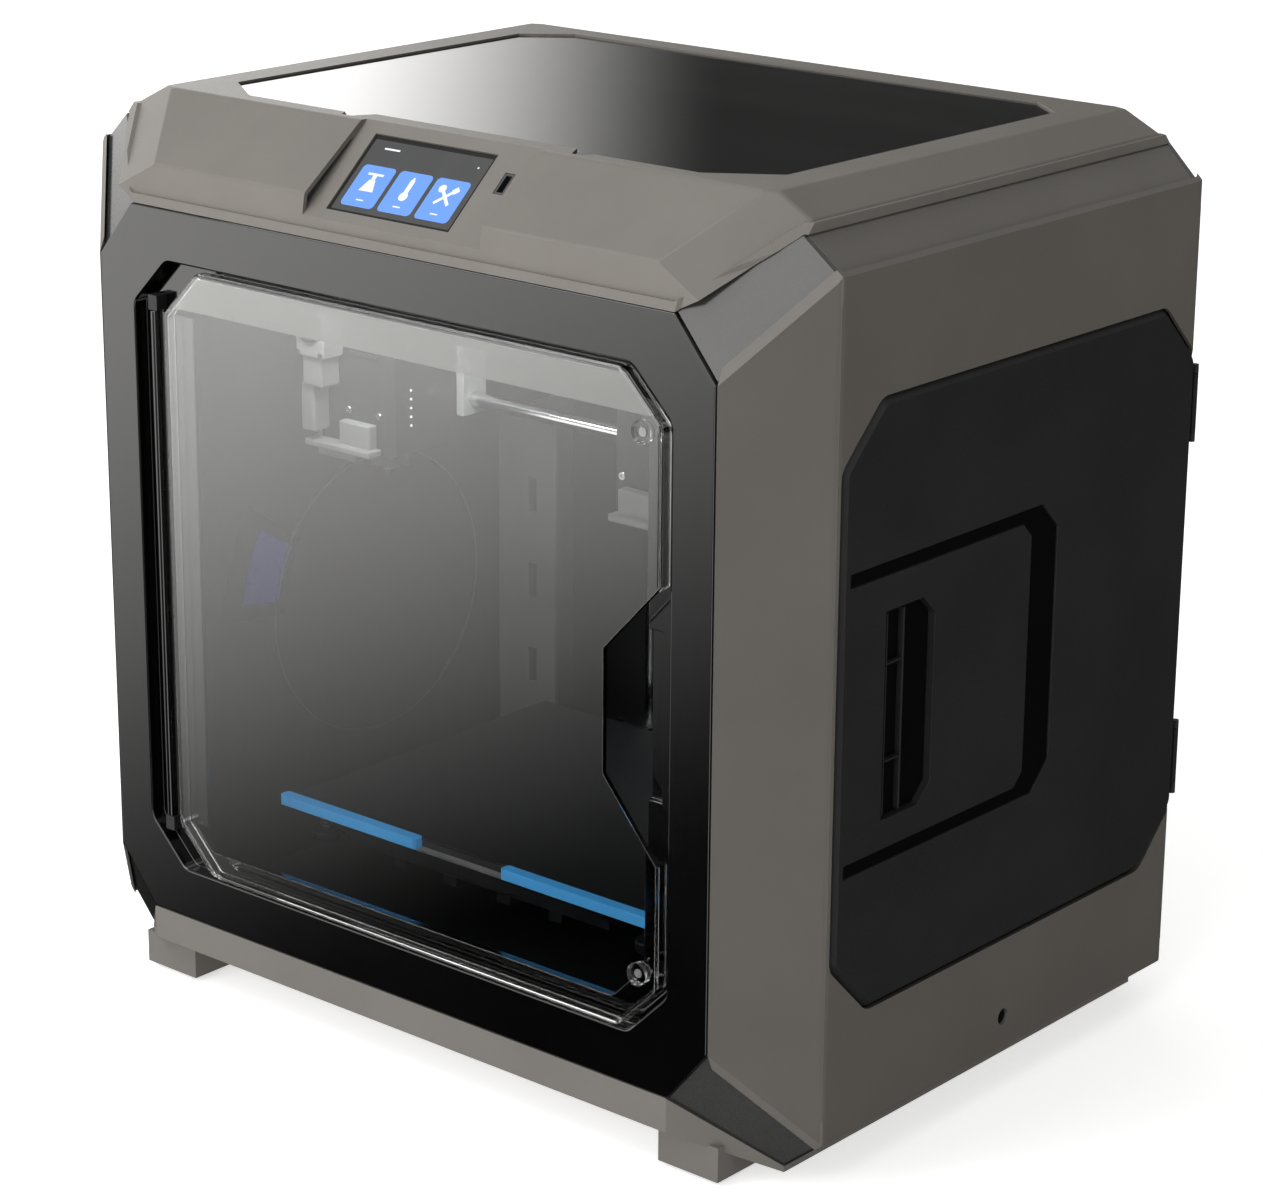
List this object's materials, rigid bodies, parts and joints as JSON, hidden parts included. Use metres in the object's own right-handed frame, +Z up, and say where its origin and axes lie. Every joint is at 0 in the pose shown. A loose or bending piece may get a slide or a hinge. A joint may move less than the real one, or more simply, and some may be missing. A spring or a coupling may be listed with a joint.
{
  "type": "fdm printer",
  "caption": "Enclosed desktop 3-D printer with a clear hinged front door, lift-off smoked lid, side spool bays, a rising bed and independent twin print heads.",
  "frame": {"origin": "centre of the footprint's bounding box, on the floor under the rubber feet", "axes": "+X to the user's right, +Y from the front door towards the back, +Z up"},
  "size_m": [0.627, 0.485, 0.615],
  "materials": {
    "shell": "satin moulded plastic, fine grain",
    "cover": "satin moulded plastic, fine grain",
    "gloss_black": "piano gloss",
    "door_black": "coarse moulded texture",
    "clear_door": "clear moulded plastic, lightly smoked",
    "smoked_lid": "smoked clear sheet",
    "rubber": "matt",
    "sheet_steel": "satin light-grey paint",
    "wall_dark": "satin dark-grey paint",
    "black_metal": "satin black paint",
    "steel_rod": "ground and polished",
    "steel": "brushed",
    "aluminium": "fine blasted",
    "brass": "turned",
    "screen": "display glass over a dark panel",
    "dark_plastic": "fine grain",
    "grey_plastic": "fine grain",
    "blue_grip": "soft satin",
    "board": "solder mask",
    "plate": "fine textured coating",
    "filament": "wound filament",
    "led": "diffuser",
    "zinc": "zinc plated"
  },
  "bodies": {
    "case": {"base_tray": "shell", "rubber_feet": "rubber", "front_bezel": "gloss_black", "rear_panel": "shell", "panel_screws": "zinc", "left_side_shell": "shell", "right_side_shell": "shell", "corner_trims": "gloss_black", "top_cover": "cover", "left_chamber_wall": "wall_dark", "right_chamber_wall": "wall_dark", "rear_chamber_wall": "wall_dark", "chamber_floor": "wall_dark", "left_spool_bay": "dark_plastic", "right_spool_bay": "dark_plastic", "spool_hubs": "dark_plastic", "touch_screen": "screen", "usb_port": "dark_plastic", "hinge_blocks": "black_metal", "power_inlet": "dark_plastic", "power_supply": "aluminium", "main_board": "board", "rear_fan_frame": "dark_plastic", "y_guides": "steel_rod", "y_belts": "rubber", "y_motor": "black_metal", "z_guides": "steel_rod", "z_columns": "sheet_steel", "z_motors": "black_metal", "led_strip": "led"},
    "front_door": {"door_panel": "clear_door", "door_hinge_bar": "gloss_black"},
    "lid": {"top_lid": "smoked_lid"},
    "right_door": {"right_side_door": "door_black"},
    "left_door": {"left_side_door": "door_black"},
    "platform": {"build_plate": "plate", "heater_plate": "aluminium", "platform_grips": "blue_grip", "platform_carriage": "black_metal"},
    "left_screw": {"left_lead_screw": "steel"},
    "right_screw": {"right_lead_screw": "steel"},
    "gantry": {"gantry_blocks": "grey_plastic", "x_rods": "steel_rod"},
    "y_shaft": {"y_drive_shaft": "steel"},
    "left_head": {"left_extruder_carriage": "grey_plastic", "left_extruder_cover": "dark_plastic", "left_hot_end": "aluminium"},
    "right_head": {"right_extruder_carriage": "grey_plastic", "right_extruder_cover": "dark_plastic", "right_hot_end": "aluminium"},
    "left_head_fan": {"left_extruder_fan": "dark_plastic"},
    "right_head_fan": {"right_extruder_fan": "dark_plastic"},
    "left_gear": {"left_feed_gear": "steel"},
    "left_idler": {"left_feed_idler": "steel"},
    "right_gear": {"right_feed_gear": "steel"},
    "right_idler": {"right_feed_idler": "steel"},
    "left_reel": {"left_spool": "filament"},
    "right_reel": {"right_spool": "filament"},
    "exhaust_fan": {"rear_fan": "dark_plastic"},
    "rocker": {"power_rocker": "dark_plastic"}
  },
  "joints": [
    {"name": "front_door_hinge", "type": "hinge", "parent": "case", "child": "front_door", "pos_m": [-0.213, -0.2325, 0.303], "axis": [0, 0, -1], "range_deg": [0, 115]},
    {"name": "lid_lift", "type": "slide", "parent": "case", "child": "lid", "axis": [0, 0, 1], "range_m": [0, 0.15]},
    {"name": "right_door_hinge", "type": "hinge", "parent": "case", "child": "right_door", "pos_m": [0.3105, 0.1975, 0.303], "axis": [0, 0, 1], "range_deg": [0, 110]},
    {"name": "left_door_hinge", "type": "hinge", "parent": "case", "child": "left_door", "pos_m": [-0.3105, 0.1975, 0.303], "axis": [0, 0, -1], "range_deg": [0, 110]},
    {"name": "bed_lift", "type": "slide", "parent": "case", "child": "platform", "axis": [0, 0, 1], "range_m": [0, 0.214]},
    {"name": "left_screw_turn", "type": "hinge", "parent": "case", "child": "left_screw", "pos_m": [-0.06, 0.1385, 0.2], "axis": [0, 0, 1], "range_deg": [-10, 9910]},
    {"name": "right_screw_turn", "type": "hinge", "parent": "case", "child": "right_screw", "pos_m": [0.06, 0.1385, 0.2], "axis": [0, 0, 1], "range_deg": [-10, 9910]},
    {"name": "gantry_y", "type": "slide", "parent": "case", "child": "gantry", "axis": [0, 1, 0], "range_m": [-0.07, 0.185]},
    {"name": "y_shaft_turn", "type": "hinge", "parent": "case", "child": "y_shaft", "pos_m": [0, 0.1585, 0.525], "axis": [-1, 0, 0], "range_deg": [-640, 1700]},
    {"name": "left_head_x", "type": "slide", "parent": "gantry", "child": "left_head", "axis": [1, 0, 0], "range_m": [-0.004, 0.085]},
    {"name": "right_head_x", "type": "slide", "parent": "gantry", "child": "right_head", "axis": [-1, 0, 0], "range_m": [-0.004, 0.085]},
    {"name": "left_fan_spin", "type": "hinge", "parent": "left_head", "child": "left_head_fan", "pos_m": [-0.177, -0.1015, 0.451], "axis": [1, 0, 0], "continuous": true},
    {"name": "right_fan_spin", "type": "hinge", "parent": "right_head", "child": "right_head_fan", "pos_m": [0.177, -0.1015, 0.451], "axis": [1, 0, 0], "continuous": true},
    {"name": "left_gear_turn", "type": "hinge", "parent": "left_head", "child": "left_gear", "pos_m": [-0.13887, -0.1015, 0.439], "axis": [0, 1, 0], "continuous": true},
    {"name": "left_idler_turn", "type": "hinge", "parent": "left_head", "child": "left_idler", "pos_m": [-0.12412, -0.1015, 0.439], "axis": [0, 1, 0], "continuous": true},
    {"name": "right_gear_turn", "type": "hinge", "parent": "right_head", "child": "right_gear", "pos_m": [0.13887, -0.1015, 0.439], "axis": [0, 1, 0], "continuous": true},
    {"name": "right_idler_turn", "type": "hinge", "parent": "right_head", "child": "right_idler", "pos_m": [0.12412, -0.1015, 0.439], "axis": [0, 1, 0], "continuous": true},
    {"name": "left_reel_turn", "type": "hinge", "parent": "case", "child": "left_reel", "pos_m": [-0.258, -0.0295, 0.24], "axis": [1, 0, 0], "continuous": true},
    {"name": "right_reel_turn", "type": "hinge", "parent": "case", "child": "right_reel", "pos_m": [0.258, -0.0295, 0.24], "axis": [1, 0, 0], "continuous": true},
    {"name": "exhaust_fan_spin", "type": "hinge", "parent": "case", "child": "exhaust_fan", "pos_m": [0.14, 0.2235, 0.46], "axis": [0, 1, 0], "continuous": true},
    {"name": "power_rocker_tilt", "type": "hinge", "parent": "case", "child": "rocker", "pos_m": [-0.153, 0.2345, 0.106], "axis": [1, 0, 0], "range_deg": [0, 14]}
  ],
  "couplings": [
    {"joint": "left_screw_turn", "follows": "bed_lift", "rad_per_m": 785.4},
    {"joint": "right_screw_turn", "follows": "bed_lift", "rad_per_m": 785.4},
    {"joint": "y_shaft_turn", "follows": "gantry_y", "rad_per_m": 156.25},
    {"joint": "left_idler_turn", "follows": "left_gear_turn", "ratio": -1.6},
    {"joint": "right_idler_turn", "follows": "right_gear_turn", "ratio": -1.6}
  ]
}
